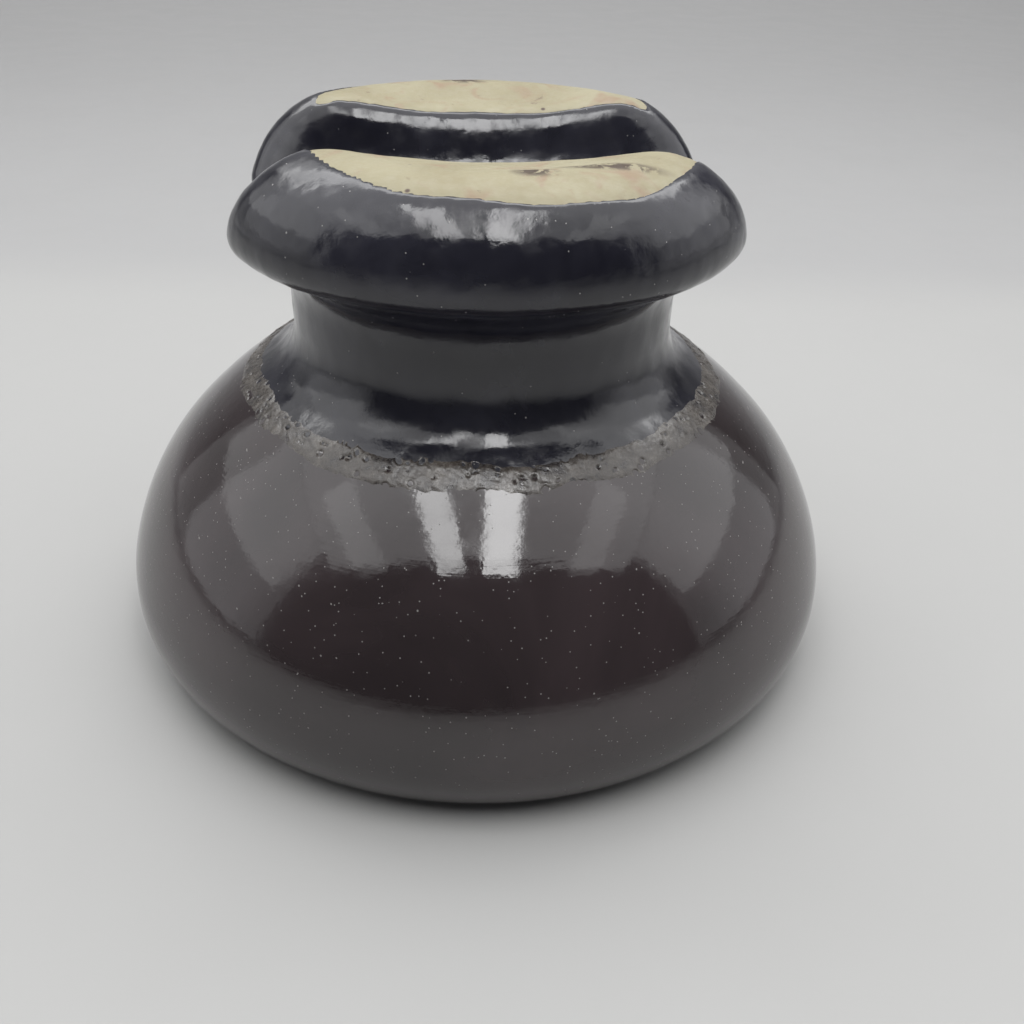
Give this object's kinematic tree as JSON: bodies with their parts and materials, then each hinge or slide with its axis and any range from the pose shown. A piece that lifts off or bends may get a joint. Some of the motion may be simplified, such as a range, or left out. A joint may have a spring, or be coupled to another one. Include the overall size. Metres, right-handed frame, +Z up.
{
  "type": "pin-type line insulator",
  "caption": "Round porcelain pin insulator: grooved head, waisted neck for a tie wire and a bulbous bell skirt over a threaded pin hole.",
  "frame": {"origin": "on the pin hole's axis, in the plane of the lip's flat seat", "axes": "+Z up the pin hole's axis towards the crown, +X along the conductor groove, +Y across it"},
  "size_m": [0.14, 0.14, 0.098],
  "materials": {
    "bare_porcelain": "unglazed, fired, matt cream with kiln stains",
    "blue_black_glaze": "gloss, very dark blue-black",
    "brown_black_glaze": "high gloss, very dark brown-black",
    "rough_overlap": "rough, pitted, grey-brown with a faint metallic glitter",
    "brown_glaze": "gloss, dark brown",
    "dull_grey_glaze": "satin, dark grey"
  },
  "bodies": {
    "root": {"porcelain_body": "bare_porcelain", "head_glaze": "blue_black_glaze", "skirt_glaze": "brown_black_glaze", "glaze_overlap_band": "rough_overlap", "underside_glaze": "brown_glaze", "pin_hole_glaze": "dull_grey_glaze"}
  },
  "joints": []
}
